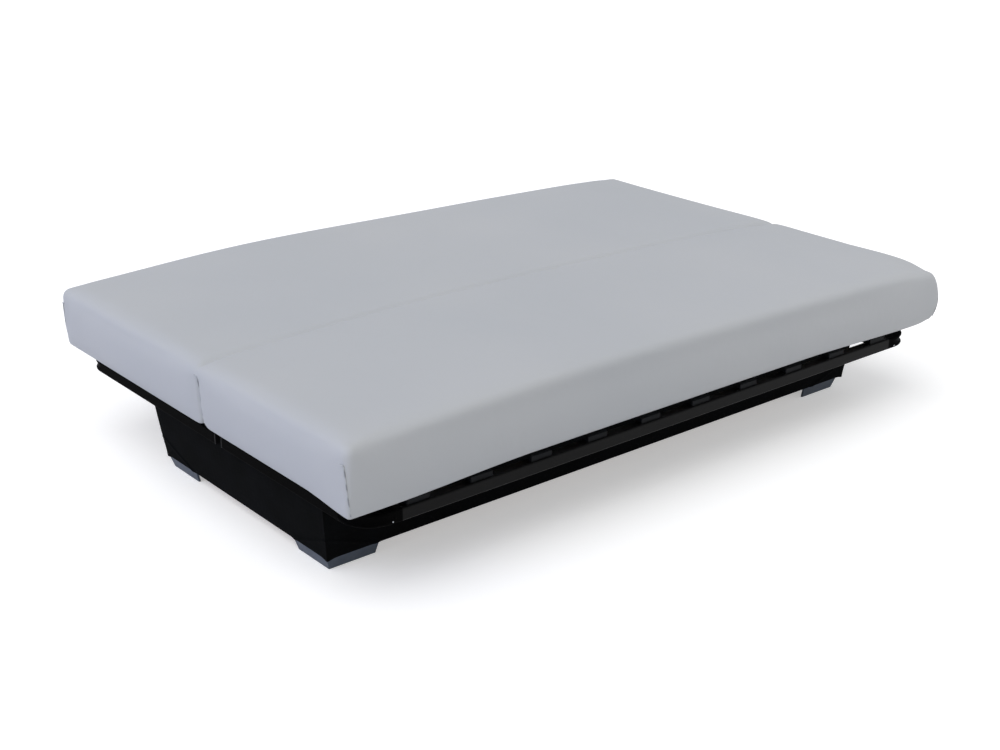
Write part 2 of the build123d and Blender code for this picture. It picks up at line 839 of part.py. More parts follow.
# Pawls and their springs
tooth_top = -disc_radius - tooth_play
with BuildPart() as pawl:
    with BuildSketch(hinge_plane(back_arm_face)):
        with Locations(pawl_pivot):
            Circle(pawl_boss_radius)
        with Locations(pawl_tail):
            Circle(pawl_tail_radius)
        make_hull()
    extrude(amount=plate_thickness)
    with BuildSketch(hinge_plane(back_arm_face)):
        with Locations((pawl_pivot[0] / 2 + tooth_width / 4, pawl_pivot[1])):
            Rectangle(pawl_reach + tooth_width / 2, 2 * pawl_half_width)
        with Locations((0, (pawl_pivot[1] + tooth_top) / 2)):
            Rectangle(tooth_width, tooth_top - pawl_pivot[1])
    extrude(amount=plate_thickness)
    with BuildSketch(hinge_plane(back_arm_face)):
        with Locations(pawl_pivot):
            Circle(pawl_pin_radius + pawl_pin_play)
    extrude(amount=plate_thickness, mode=Mode.SUBTRACT)
    with BuildSketch(hinge_plane(post_end)):
        with Locations(pawl_tail):
            Circle(spring_post_radius)
    extrude(amount=back_arm_face - post_end)
finish_pair(pawl, "pawl")

spring_x = plate_inner_face - layer_gap - spring_wire_radius - spring_radius
spring_y = crease + spring_anchor[0]
spring_start = pivot_height + spring_anchor[1] + post_clear + spring_stub
with BuildLine() as coil:
    Helix(spring_pitch, spring_height, spring_radius, center=(spring_x, spring_y, spring_start))
with BuildPart() as pawl_spring:
    with BuildSketch(Plane(origin=coil.line @ 0, z_dir=coil.line % 0)):
        Circle(spring_wire_radius)
    sweep(path=coil.line, is_frenet=True)
    with Locations((spring_x + spring_radius, spring_y, spring_start)):
        Cylinder(spring_wire_radius, spring_stub, align=under_top)
    with Locations((spring_x + spring_radius, spring_y, spring_start + spring_height)):
        Cylinder(spring_wire_radius, spring_stub, align=on_base)
finish_pair(pawl_spring, "pawl_spring")
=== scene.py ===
import json
from math import cos, pi, radians, sin

import bpy
import numpy as np
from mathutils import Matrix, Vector


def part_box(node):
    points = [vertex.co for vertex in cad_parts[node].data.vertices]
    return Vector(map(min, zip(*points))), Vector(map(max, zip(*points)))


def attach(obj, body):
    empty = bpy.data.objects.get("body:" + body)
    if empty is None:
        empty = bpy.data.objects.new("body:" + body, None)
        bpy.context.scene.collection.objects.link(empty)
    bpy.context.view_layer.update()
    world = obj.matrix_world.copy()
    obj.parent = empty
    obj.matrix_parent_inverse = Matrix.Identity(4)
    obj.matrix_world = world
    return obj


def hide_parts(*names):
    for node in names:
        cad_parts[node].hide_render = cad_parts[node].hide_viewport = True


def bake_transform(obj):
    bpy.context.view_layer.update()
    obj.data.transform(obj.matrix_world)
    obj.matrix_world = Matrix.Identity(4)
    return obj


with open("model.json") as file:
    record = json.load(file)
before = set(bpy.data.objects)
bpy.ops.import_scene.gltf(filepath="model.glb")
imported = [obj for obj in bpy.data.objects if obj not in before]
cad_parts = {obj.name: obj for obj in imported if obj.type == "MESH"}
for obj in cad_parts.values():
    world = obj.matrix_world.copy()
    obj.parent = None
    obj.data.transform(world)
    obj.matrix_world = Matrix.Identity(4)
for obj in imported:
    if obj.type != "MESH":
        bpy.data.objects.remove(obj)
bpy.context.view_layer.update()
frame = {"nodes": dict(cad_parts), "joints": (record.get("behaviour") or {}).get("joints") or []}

# A sofa bed opened flat: white mattress in two halves, black tube frames, black storage box.
# Metres, in the frame of the CAD part: X to the right, the front of the seat faces -Y.

MM = 0.001
TINY = 1e-6

# Places taken from the frame
hinge_joint = next(j for j in frame["joints"] if j["name"] == "back_fold")
HINGE = Vector(hinge_joint["pos_m"])
SEAT_LOW, SEAT_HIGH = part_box("seat_mattress_cover")
BACK_LOW, BACK_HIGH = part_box("back_mattress_cover")
BOX_LOW, BOX_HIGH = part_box("box_cover")
TUBE_LOW, TUBE_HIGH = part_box("seat_frame_tube")

# Camera
CAMERA_PLACE = (-2.4417, -2.9458, 1.6072)
CAMERA_PITCH = 21.31
CAMERA_TURN = -39.35
CAMERA_LENS = 55.0


def make_camera():
    """The camera at the photograph's viewing angle."""
    data = bpy.data.cameras.new("camera")
    data.sensor_width = 36
    data.lens = CAMERA_LENS
    data.clip_end = 60
    camera = bpy.data.objects.new("camera", data)
    camera.location = CAMERA_PLACE
    camera.rotation_euler = (radians(90 - CAMERA_PITCH), 0, radians(CAMERA_TURN))
    bpy.context.scene.collection.objects.link(camera)
    bpy.context.scene.camera = camera


make_camera()
bpy.context.scene.view_settings.view_transform = "Standard"


# Working in Blender as by hand


def deselect():
    """Leave edit mode with nothing selected."""
    if bpy.context.object and bpy.context.object.mode != "OBJECT":
        bpy.ops.object.mode_set(mode="OBJECT")
    bpy.ops.object.select_all(action="DESELECT")


def take(piece):
    """Select one object alone and make it active."""
    deselect()
    piece.select_set(True)
    bpy.context.view_layer.objects.active = piece


def add_cube(name, low, high):
    """A new cube between two corners, with its place in its mesh."""
    deselect()
    middle = (Vector(low) + Vector(high)) / 2
    size = Vector(high) - Vector(low)
    bpy.ops.mesh.primitive_cube_add(size=1, location=middle, scale=size)
    piece = bpy.context.object
    piece.name = name
    bpy.ops.object.transform_apply(location=True, rotation=True, scale=True)
    return piece


def cut_lines(piece, axis, places):
    """Cut a mesh across one axis at several places, so that it has lines there."""
    take(piece)
    bpy.ops.object.mode_set(mode="EDIT")
    normal = Vector((0, 0, 0))
    normal[axis] = 1
    for place in places:
        bpy.ops.mesh.select_all(action="SELECT")
        bpy.ops.mesh.bisect(plane_co=normal * place, plane_no=normal)
    bpy.ops.object.mode_set(mode="OBJECT")


def read_points(piece):
    """All points of a mesh as an array."""
    points = np.zeros(len(piece.data.vertices) * 3)
    piece.data.vertices.foreach_get("co", points)
    return points.reshape(-1, 3)


def write_points(piece, points):
    """Put changed points back in a mesh."""
    piece.data.vertices.foreach_set("co", points.ravel())
    piece.data.update()


def smooth(piece, angle):
    """Smooth shading, with edges sharper than an angle left sharp."""
    take(piece)
    bpy.ops.object.shade_smooth_by_angle(angle=radians(angle))


def apply_modifier(piece, kind, **settings):
    """Add one modifier with its settings and apply it."""
    take(piece)
    modifier = piece.modifiers.new(kind.lower(), kind)
    for name, value in settings.items():
        setattr(modifier, name, value)
    bpy.ops.object.modifier_apply(modifier=modifier.name)


def ramp(values, start, end):
    """0 before start and 1 after end, with a smooth turn in between."""
    share = np.clip((values - start) / (end - start), 0, 1)
    return share * share * (3 - 2 * share)


def ridge(values, width):
    """1 on a line and 0 a few widths away from it."""
    return np.exp(-((values / width) ** 2))


# Colours and material nodes

# Scale of a wave texture whose bands lie 16 mm apart, or 31 mm where they run diagonally
BAND_SCALE = 20
# Half the length of the tubes' straight runs between their crushed bends, past which the steel's
# reflection is cut as painted shade
STRAIGHT_RUN = 803 * MM


def linear(hex_colour):
    """An sRGB hex colour as the linear colour that Blender works in."""
    channels = [int(hex_colour[i : i + 2], 16) / 255 for i in (1, 3, 5)]
    bent = [c / 12.92 if c <= 0.04045 else ((c + 0.055) / 1.055) ** 2.4 for c in channels]
    return (*bent, 1)


def add_node(tree, kind, inputs=(), **settings):
    """Add a node to a tree with its settings, and set or link its inputs."""
    node = tree.nodes.new(kind)
    for name, value in settings.items():
        setattr(node, name, value)
    for key, value in dict(inputs).items():
        if isinstance(value, bpy.types.NodeSocket):
            tree.links.new(value, node.inputs[key])
        else:
            node.inputs[key].default_value = value
    return node


def new_material(name):
    """An empty node material, with the coordinates of the object to draw patterns on."""
    material = bpy.data.materials.new(name)
    material.use_nodes = True
    tree = material.node_tree
    tree.nodes.clear()
    place = add_node(tree, "ShaderNodeTexCoord").outputs["Object"]
    return material, tree, place


def end_material(tree, inputs):
    """The surface shader of a material and its output."""
    shader = add_node(tree, "ShaderNodeBsdfPrincipled", inputs)
    add_node(tree, "ShaderNodeOutputMaterial", {"Surface": shader.outputs["BSDF"]})


def two_tones(tree, share, low, high, start, end):
    """Two colours mixed by a pattern, the first up to start and the second from end."""
    tones = add_node(tree, "ShaderNodeValToRGB", {"Fac": share})
    tones.color_ramp.elements[0].position = start
    tones.color_ramp.elements[0].color = linear(low)
    tones.color_ramp.elements[1].position = end
    tones.color_ramp.elements[1].color = linear(high)
    return tones.outputs["Color"]


def mattress_knit():
    """Circular-knit polyester ticking, bleached white: matt, with a soft sheen at a low angle.
    The knit's loops are about 1 mm wide, and are drawn at 3 mm so that they show."""
    material, tree, place = new_material("knitted_polyester_ticking")
    loops = add_node(tree, "ShaderNodeTexVoronoi", {"Vector": place, "Scale": 1 / (3 * MM)})
    cloud = add_node(tree, "ShaderNodeTexNoise", {"Vector": place, "Scale": 1 / (600 * MM)})
    pull = add_node(
        tree,
        "ShaderNodeTexNoise",
        {"Vector": place, "Scale": 1 / (45 * MM), "Detail": 3, "Roughness": 0.45},
    )
    colour = two_tones(tree, cloud.outputs["Fac"], "#b5b8bb", "#babcbe", 0.3, 0.7)
    fine = add_node(
        tree,
        "ShaderNodeBump",
        {"Height": loops.outputs["Distance"], "Strength": 0.18, "Distance": 0.5 * MM},
    )
    broad = add_node(
        tree,
        "ShaderNodeBump",
        {
            "Height": pull.outputs["Fac"],
            "Strength": 0.22,
            "Distance": 4 * MM,
            "Normal": fine.outputs["Normal"],
        },
    )
    end_material(
        tree,
        {
            "Base Color": colour,
            "Roughness": 0.92,
            "Sheen Weight": 0.12,
            "Sheen Roughness": 0.5,
            "Specular IOR Level": 0.2,
            "Normal": broad.outputs["Normal"],
        },
    )
    return material


def seam_thread():
    """Overlocked polyester seam: thread turned round its edge, drawn greyer than the knit as painted
    shade of the sewn ridge.
    The turns are about 1 mm apart, and their light and dark is drawn at 31 mm so that it shows."""
    material, tree, place = new_material("overlocked_seam_thread_painted_shade")
    turns = add_node(
        tree,
        "ShaderNodeTexWave",
        {"Vector": place, "Scale": BAND_SCALE, "Distortion": 1.5},
        bands_direction="DIAGONAL",
    )
    # Both tones are greyer than the knit as painted shade of the seam; the change between them is the
    # thread's turns
    colour = two_tones(tree, turns.outputs["Fac"], "#8f9296", "#b4b7ba", 0.2, 0.8)
    bump = add_node(
        tree,
        "ShaderNodeBump",
        {"Height": turns.outputs["Fac"], "Strength": 0.5, "Distance": 0.4 * MM},
    )
    end_material(
        tree, {"Base Color": colour, "Roughness": 0.85, "Normal": bump.outputs["Normal"]}
    )
    return material


def coated_steel():
    """Tube of mild steel, powder-coated satin black: a faint orange peel and soft highlights.
    Past the straight runs its reflection is turned almost off, as painted shade of the crushed bends
    and the runs beyond them."""
    material, tree, place = new_material("powder_coated_steel_black")
    across = add_node(tree, "ShaderNodeSeparateXYZ", {"Vector": place}).outputs["X"]
    outwards = add_node(tree, "ShaderNodeMath", {0: across}, operation="ABSOLUTE")
    # Painted shade: beyond the straight runs the steel reflects almost nothing, so the bends look
    # dark
    bend_shade_gloss = add_node(
        tree,
        "ShaderNodeMapRange",
        {
            "Value": outwards.outputs["Value"],
            "From Min": STRAIGHT_RUN,
            "From Max": STRAIGHT_RUN + 1 * MM,
            "To Min": 0.1,
            "To Max": 0.005,
        },
    )
    peel = add_node(
        tree, "ShaderNodeTexNoise", {"Vector": place, "Scale": 1 / (2.2 * MM), "Detail": 2}
    )
    dust = add_node(
        tree, "ShaderNodeTexNoise", {"Vector": place, "Scale": 1 / (70 * MM), "Detail": 4}
    )
    colour = two_tones(tree, dust.outputs["Fac"], "#060606", "#0a0a0a", 0.35, 0.7)
    shine = add_node(
        tree,
        "ShaderNodeMapRange",
        {"Value": dust.outputs["Fac"], "To Min": 0.44, "To Max": 0.56},
    )
    bump = add_node(
        tree,
        "ShaderNodeBump",
        {"Height": peel.outputs["Fac"], "Strength": 0.25, "Distance": 0.15 * MM},
    )
    end_material(
        tree,
        {
            "Base Color": colour,
            "Roughness": shine.outputs["Result"],
            "Specular IOR Level": bend_shade_gloss.outputs["Result"],
            "Normal": bump.outputs["Normal"],
        },
    )
    return material


def moulded_plastic(name, low, high, roughness, grain):
    """Injection-moulded plastic with a fine eroded grain, a little uneven in tone."""
    material, tree, place = new_material(name)
    grit = add_node(
        tree, "ShaderNodeTexNoise", {"Vector": place, "Scale": 1 / (grain * MM), "Detail": 3}
    )
    flow = add_node(
        tree, "ShaderNodeTexNoise", {"Vector": place, "Scale": 1 / (40 * MM), "Detail": 2}
    )
    colour = two_tones(tree, flow.outputs["Fac"], low, high, 0.3, 0.7)
    bump = add_node(
        tree,
        "ShaderNodeBump",
        {"Height": grit.outputs["Fac"], "Strength": 0.3, "Distance": 0.15 * MM},
    )
    end_material(
        tree,
        {
            "Base Color": colour,
            "Roughness": roughness,
            "Specular IOR Level": 0.1,
            "Normal": bump.outputs["Normal"],
        },
    )
    return material


def box_weave():
    """Black woven polyester, stretched and stapled over the box: dull, with a plain weave.
    The yarns are about 0.5 mm apart, and are drawn at 16 mm so that they show."""
    material, tree, place = new_material("woven_polyester_black")
    weave = []
    for direction in ("X", "Y", "Z"):
        threads = add_node(
            tree,
            "ShaderNodeTexWave",
            {"Vector": place, "Scale": BAND_SCALE, "Distortion": 0.6, "Detail": 1},
            bands_direction=direction,
        )
        weave.append(threads.outputs["Fac"])
    pair = add_node(
        tree, "ShaderNodeMath", {0: weave[0], 1: weave[1]}, operation="ADD"
    ).outputs["Value"]
    height = add_node(tree, "ShaderNodeMath", {0: pair, 1: weave[2]}, operation="ADD")
    lint = add_node(
        tree, "ShaderNodeTexNoise", {"Vector": place, "Scale": 1 / (90 * MM), "Detail": 5}
    )
    colour = two_tones(tree, lint.outputs["Fac"], "#080909", "#0d0e10", 0.35, 0.7)
    bump = add_node(
        tree,
        "ShaderNodeBump",
        {"Height": height.outputs["Value"], "Strength": 0.3, "Distance": 0.3 * MM},
    )
    end_material(
        tree,
        {
            "Base Color": colour,
            "Roughness": 0.9,
            "Specular IOR Level": 0.02,
            "Sheen Weight": 0.01,
            "Normal": bump.outputs["Normal"],
        },
    )
    return material


def grained_wood(name, low, high, stretch, grain, roughness):
    """Wood with its grain along one axis: long fibres, a few darker streaks, a thin lacquer."""
    material, tree, place = new_material(name)
    along = add_node(
        tree, "ShaderNodeMapping", {"Vector": place, "Scale": stretch}
    ).outputs["Vector"]
    fibres = add_node(
        tree,
        "ShaderNodeTexNoise",
        {"Vector": along, "Scale": 1 / (grain * MM), "Detail": 5, "Roughness": 0.6},
    )
    colour = two_tones(tree, fibres.outputs["Fac"], low, high, 0.35, 0.65)
    bump = add_node(
        tree,
        "ShaderNodeBump",
        {"Height": fibres.outputs["Fac"], "Strength": 0.25, "Distance": 0.3 * MM},
    )
    end_material(
        tree,
        {"Base Color": colour, "Roughness": roughness, "Normal": bump.outputs["Normal"]},
    )
    return material


def bare_metal(name, low, high, roughness, grain):
    """Bare or plated steel: metallic, a little cloudy, with a fine rolled or plated grain."""
    material, tree, place = new_material(name)
    cloud = add_node(
        tree, "ShaderNodeTexNoise", {"Vector": place, "Scale": 1 / (12 * MM), "Detail": 4}
    )
    grit = add_node(
        tree, "ShaderNodeTexNoise", {"Vector": place, "Scale": 1 / (grain * MM), "Detail": 2}
    )
    colour = two_tones(tree, cloud.outputs["Fac"], low, high, 0.35, 0.65)
    shine = add_node(
        tree,
        "ShaderNodeMapRange",
        {"Value": cloud.outputs["Fac"], "To Min": roughness - 0.08, "To Max": roughness + 0.1},
    )
    bump = add_node(
        tree,
        "ShaderNodeBump",
        {"Height": grit.outputs["Fac"], "Strength": 0.2, "Distance": 0.1 * MM},
    )
    end_material(
        tree,
        {
            "Base Color": colour,
            "Metallic": 1.0,
            "Roughness": shine.outputs["Result"],
            "Normal": bump.outputs["Normal"],
        },
    )
    return material


KNIT = mattress_knit()
SEAM_SHADED_THREAD = seam_thread()
COATED_STEEL = coated_steel()
CAP_PLASTIC = moulded_plastic("polypropylene_grey", "#0c0e10", "#121417", 0.55, 1.2)
PLUG_PLASTIC = moulded_plastic("polyethylene_black", "#0d0d0e", "#121213", 0.45, 1.2)
FOOT_PLASTIC = moulded_plastic("abs_silver_paint", "#4c545f", "#565e69", 0.45, 0.8)
BOX_WEAVE = box_weave()
SLAT_BEECH = grained_wood("bent_beech_plywood", "#b8925f", "#d2b387", (1, 0.03, 1), 3, 0.45)
BOARD_WOOD = grained_wood("raw_particle_board", "#9d7b50", "#bd9b70", (1, 1, 1), 5, 0.8)
FLOOR_BOARD = grained_wood("hardboard_brown", "#6d4f33", "#835f3e", (1, 1, 1), 2.5, 0.6)
HINGE_STEEL = bare_metal("pressed_steel_grey", "#7d8084", "#94979b", 0.42, 1.5)
ZINC_STEEL = bare_metal("zinc_plated_steel", "#a9adb1", "#c2c4c5", 0.3, 1.0)
SPRING_STEEL = bare_metal("oiled_spring_steel", "#5f6265", "#73767a", 0.35, 0.8)

# CAD nodes that stay, by the start of their names
NODE_FINISHES = {
    "seat_frame_tube": COATED_STEEL,
    "back_frame_tube": COATED_STEEL,
    "seat_inner_rail": COATED_STEEL,
    "back_inner_rail": COATED_STEEL,
    "seat_tube_plugs": PLUG_PLASTIC,
    "back_tube_plugs": PLUG_PLASTIC,
    "seat_slat_caps": CAP_PLASTIC,
    "back_slat_caps": CAP_PLASTIC,
    "seat_slat_": SLAT_BEECH,
    "back_slat_": SLAT_BEECH,
    "seat_arm_bolts": ZINC_STEEL,
    "back_arm_bolts": ZINC_STEEL,
    "seat_arm_": HINGE_STEEL,
    "back_arm_": HINGE_STEEL,
    "base_plate_bolts": ZINC_STEEL,
    "base_plate_": HINGE_STEEL,
    "foot_screws": ZINC_STEEL,
    "foot_": FOOT_PLASTIC,
    "pivot_rivets": ZINC_STEEL,
    "pawl_spring_": SPRING_STEEL,
    "pawl_": HINGE_STEEL,
    "hinge_cleats": BOARD_WOOD,
    "corner_posts": BOARD_WOOD,
    "box_floor": FLOOR_BOARD,
    "box_cover": BOX_WEAVE,
    "box_": BOARD_WOOD,
    "seat_mattress_": KNIT,
    "back_mattress_": KNIT,
    "mattress_fold": KNIT,
}


def finish_nodes():
    """Give each CAD node the material of the first name in the list that it starts with."""
    for name, node in frame["nodes"].items():
        finish = next(m for start, m in NODE_FINISHES.items() if name.startswith(start))
        node.data.materials.clear()
        node.data.materials.append(finish)


finish_nodes()

# Mattress: one closed cover over two halves, simulated as a tight cloth and split at the crease

MATTRESS_LOW = Vector(map(min, SEAT_LOW, BACK_LOW))
MATTRESS_HIGH = Vector(map(max, SEAT_HIGH, BACK_HIGH))
CROWN_ROOM = 15 * MM
EDGE_TOP = MATTRESS_HIGH.z - CROWN_ROOM
EDGE_HEIGHT = EDGE_TOP - MATTRESS_LOW.z

# Lines of its grid: the distance between them, and the closer ones from an edge or the crease
GRID = 30 * MM
EDGE_STEPS = (5 * MM, 11 * MM, 18 * MM, 27 * MM, 42 * MM, 62 * MM)
CREASE_STEPS = (3 * MM, 7 * MM, 12 * MM, 18 * MM, 27 * MM, 40 * MM, 58 * MM)
LOW_STEPS = (5 * MM, 10 * MM, 16 * MM, 26 * MM, 44 * MM, 68 * MM)
HIGH_STEPS = (5 * MM, 11 * MM, 19 * MM, 28 * MM, 44 * MM)

# Its rounded edges, and the share of the height where the upright ones turn into the others
TOP_ROUND = 26 * MM
LOWER_ROUND = 14 * MM
CORNER_ROUND = 17 * MM
TOP_BLEND_SHARE = 0.35
LOWER_BLEND_SHARE = 0.4

# Its crowned top; the crown of each half keeps a share of its height at the ends of the bed
LONG_CROWN = 26 * MM
CROSS_CROWN = 1 * MM
CROSS_END_SHARE = 0.3

# Its other forms. Each run says where a form starts and where it is full, from the middle
LEFT_LIFT = 9 * MM
LEFT_LIFT_RUN = (-300 * MM, 600 * MM)
BACK_LIFT = 7 * MM
BACK_LIFT_RUN = (200 * MM, 600 * MM)
BACK_LIFT_PLACE = -450 * MM
BACK_LIFT_WIDTH = 400 * MM
RIGHT_DROOP = 12 * MM
RIGHT_DROOP_RUN = (700 * MM, 950 * MM)
BACK_DROOP_SHARE = 0.4
FRONT_DROOP_RUN = (500 * MM, 640 * MM)
CORNER_DROOP = 11 * MM
CORNER_FRONT_RUN = (480 * MM, 640 * MM)
CORNER_END_RUN = (450 * MM, 850 * MM)
LOWER_LEAN = 9 * MM
SIDE_REACH = 7 * MM
SIDE_RUN = (300 * MM, 620 * MM)
LEFT_REACH = 5 * MM
RIGHT_REACH = 50 * MM
REACH_RUN = (500 * MM, 940 * MM)
LEFT_END_PULL = 6 * MM
LEFT_PULL_RUN = (700 * MM, 940 * MM)

# The soft corner at the right end of the front, drawn in most at its top and its foot
SOFT_CORNER = 25 * MM
SOFT_END_RUN = (860 * MM, 940 * MM)
SOFT_FRONT_RUN = (530 * MM, 650 * MM)
SOFT_MIDDLE_SHARE = 0.45
SOFT_ALONG_SHARES = (0.1, 0.9)
SOFT_ACROSS_SHARES = (0.1, 0.4)

# Its cloth: what holds it, how it is blown up and how far it may move
CLOTH_START = 3 * MM
CLOTH_CAP = 4 * MM
CLOTH_FRAMES = 20
SEAM_HOLD = 24 * MM
CREASE_HOLD = 4 * MM
UNDER_HOLD = 8 * MM
CLOTH_SETTINGS = {
    "quality": 5,
    "mass": 0.3,
    "tension_stiffness": 40,
    "compression_stiffness": 40,
    "shear_stiffness": 15,
    "bending_stiffness": 2,
    "use_pressure": True,
    "uniform_pressure_force": 4,
}

# Its crease: pressed into the top, dipped at the rims, drawn in at the ends, open underneath
TOP_SHARES = (0.75, 0.95)
CREASE_PRESS = 1.2 * MM
CREASE_WIDTHS = (6 * MM, 40 * MM)
RIM_DIP = 4 * MM
RIM_DIP_WIDTH = 13 * MM
RIM_RUN = (90 * MM, 20 * MM)
END_PRESSES = ((4 * MM, 5 * MM), (3 * MM, 22 * MM))
END_RUN = (22 * MM, 4 * MM)
NOTCH_ROUND = 24 * MM
NOTCH_SHARE = 0.35


def lines_between(low, high, steps_low, steps_high):
    """Places of the lines of a grid, closer together near both ends."""
    start, end = low + steps_low[-1], high - steps_high[-1]
    count = max(1, round((end - start) / GRID))
    places = [low + step for step in steps_low]
    places += [start + (end - start) * i / count for i in range(1, count)]
    return places + [high - step for step in reversed(steps_high)]


def mattress_blank():
    """A block with a graded grid, closer at its edges and at the crease."""
    low, high = MATTRESS_LOW, Vector((MATTRESS_HIGH.x, MATTRESS_HIGH.y, EDGE_TOP))
    blank = add_cube("mattress", low, high)
    cut_lines(blank, 0, lines_between(low.x, high.x, EDGE_STEPS, EDGE_STEPS))
    cut_lines(blank, 1, lines_between(low.y, HINGE.y, EDGE_STEPS, CREASE_STEPS))
    cut_lines(blank, 1, [HINGE.y])
    cut_lines(blank, 1, lines_between(HINGE.y, high.y, CREASE_STEPS, EDGE_STEPS))
    cut_lines(blank, 2, [low.z + step for step in LOW_STEPS])
    cut_lines(blank, 2, [high.z - step for step in reversed(HIGH_STEPS)])
    return blank


def round_block(points, inset):
    """Round the edges of the block: top, lower and upright ones each have their own radius."""
    middle = np.array([0, (MATTRESS_LOW.y + MATTRESS_HIGH.y) / 2, 0])
    half = np.array([MATTRESS_HIGH.x, (MATTRESS_HIGH.y - MATTRESS_LOW.y) / 2])
    local = points - middle
    z = points[:, 2]
    up = ramp(z, MATTRESS_LOW.z + TOP_BLEND_SHARE * EDGE_HEIGHT, EDGE_TOP - TOP_ROUND)
    down = 1 - ramp(z, MATTRESS_LOW.z + LOWER_ROUND, MATTRESS_LOW.z + LOWER_BLEND_SHARE * EDGE_HEIGHT)
    radius = CORNER_ROUND + (TOP_ROUND - CORNER_ROUND) * up + (LOWER_ROUND - CORNER_ROUND) * down
    inner = half[None, :] - radius[:, None]
    flat = np.clip(local[:, :2], -inner, inner)
    upright = np.clip(z, MATTRESS_LOW.z + LOWER_ROUND, EDGE_TOP - TOP_ROUND)
    over = z - upright
    tall = np.where(over > 0, TOP_ROUND, LOWER_ROUND)
    offset = np.column_stack([(local[:, :2] - flat) / radius[:, None], over / tall])
    offset /= np.maximum(np.linalg.norm(offset, axis=1), TINY)[:, None]
    return np.column_stack([
        flat[:, 0] + offset[:, 0] * (radius - inset),
        flat[:, 1] + offset[:, 1] * (radius - inset) + middle[1],
        upright + offset[:, 2] * (tall - inset),
    ])


def shape_mattress(points):
    """The mattress's own shape: crowned top, drooping ends, sides that lean in at the bottom."""
    x, y, z = points.T
    share = np.clip((z - MATTRESS_LOW.z) / EDGE_HEIGHT, 0, 1)
    belly = 1 - (x / MATTRESS_HIGH.x) ** 2
    seat = y < HINGE.y
    centre = np.where(seat, (MATTRESS_LOW.y + HINGE.y) / 2, (MATTRESS_HIGH.y + HINGE.y) / 2)
    width = np.where(seat, HINGE.y - MATTRESS_LOW.y, MATTRESS_HIGH.y - HINGE.y) / 2
    cross = np.clip(1 - ((y - centre) / width) ** 2, 0, 1)
    cross = cross * (CROSS_END_SHARE + (1 - CROSS_END_SHARE) * belly)
    z = z + share * (LONG_CROWN * belly + CROSS_CROWN * cross)
    z = z + LEFT_LIFT * share * ramp(-x, *LEFT_LIFT_RUN)
    lifted = ridge(x - BACK_LIFT_PLACE, BACK_LIFT_WIDTH) * ramp(y, *BACK_LIFT_RUN)
    z = z + BACK_LIFT * share * lifted
    droop = BACK_DROOP_SHARE + (1 - BACK_DROOP_SHARE) * ramp(-y, *FRONT_DROOP_RUN)
    z = z - RIGHT_DROOP * share * ramp(x, *RIGHT_DROOP_RUN) * droop
    corner = ramp(-y, *CORNER_FRONT_RUN) * ramp(np.abs(x), *CORNER_END_RUN)
    z = z - CORNER_DROOP * corner * (1 - share)
    soft = SOFT_CORNER * ramp(x, *SOFT_END_RUN) * ramp(-y, *SOFT_FRONT_RUN)
    rims = (2 * (share - SOFT_MIDDLE_SHARE)) ** 2
    y = y - np.sign(y) * LOWER_LEAN * (1 - share) ** 2 * ramp(np.abs(y), *SIDE_RUN)
    y = y + np.sign(y) * SIDE_REACH * ramp(np.abs(y), *SIDE_RUN)
    x = x + LEFT_END_PULL * (1 - share) ** 2 * ramp(-x, *LEFT_PULL_RUN)
    x = x + RIGHT_REACH * ramp(x, *REACH_RUN) - LEFT_REACH * ramp(-x, *REACH_RUN)
    x = x - soft * (SOFT_ALONG_SHARES[0] + SOFT_ALONG_SHARES[1] * rims)
    y = y + soft * (SOFT_ACROSS_SHARES[0] + SOFT_ACROSS_SHARES[1] * rims)
    return np.column_stack([x, y, z])


def simulate_cover(mattress):
    """Blow the cover up a little as a tight cloth, held at its seams, crease and underside."""
    start = read_points(mattress)
    x, y, z = start.T
    near_end = np.abs(x) > MATTRESS_HIGH.x - SEAM_HOLD
    near_side = np.abs(y) > MATTRESS_HIGH.y - SEAM_HOLD
    seam = near_end & near_side
    crease = np.abs(y - HINGE.y) < CREASE_HOLD
    under = z < MATTRESS_LOW.z + UNDER_HOLD
    held = mattress.vertex_groups.new(name="held")
    held.add([int(i) for i in np.nonzero(seam | crease | under)[0]], 1.0, "REPLACE")
    take(mattress)
    cloth = mattress.modifiers.new("cover", "CLOTH")
    for name, value in CLOTH_SETTINGS.items():
        setattr(cloth.settings, name, value)
    cloth.settings.vertex_group_mass = held.name
    cloth.settings.effector_weights.gravity = 0
    scene = bpy.context.scene
    for step in range(CLOTH_FRAMES):
        scene.frame_set(step + 1)
    bpy.ops.object.modifier_apply(modifier=cloth.name)
    scene.frame_set(1)
    moved = read_points(mattress) - start
    length = np.maximum(np.linalg.norm(moved, axis=1), TINY)
    limit = np.minimum(length, CLOTH_CAP) / length
    write_points(mattress, start + moved * limit[:, None])
    mattress.vertex_groups.clear()


def near_ends(x, start, full):
    """0 up to a distance from the ends of the bed, and 1 from a shorter distance on."""
    return ramp(np.abs(x), MATTRESS_HIGH.x - start, MATTRESS_HIGH.x - full)


def press_crease(points):
    """Press the crease into the top and the ends, and open the notch along the underside."""
    x, y, z = points.T
    across = y - HINGE.y
    share = np.clip((z - MATTRESS_LOW.z) / EDGE_HEIGHT, 0, 1)
    top = ramp(share, *TOP_SHARES)
    z = z - top * CREASE_PRESS * sum(ridge(across, width) for width in CREASE_WIDTHS)
    z = z - top * RIM_DIP * ridge(across, RIM_DIP_WIDTH) * near_ends(x, *RIM_RUN)
    drawn = sum(depth * ridge(across, width) for depth, width in END_PRESSES)
    x = x - np.sign(x) * drawn * near_ends(x, *END_RUN) * (1 - top)
    gap = np.clip(1 - np.abs(across) / NOTCH_ROUND, 0, 1)
    notch = NOTCH_ROUND * (1 - np.sqrt(1 - gap**2))
    z = z + notch * (1 - ramp(share, 0, NOTCH_SHARE))
    return np.column_stack([x, y, z])


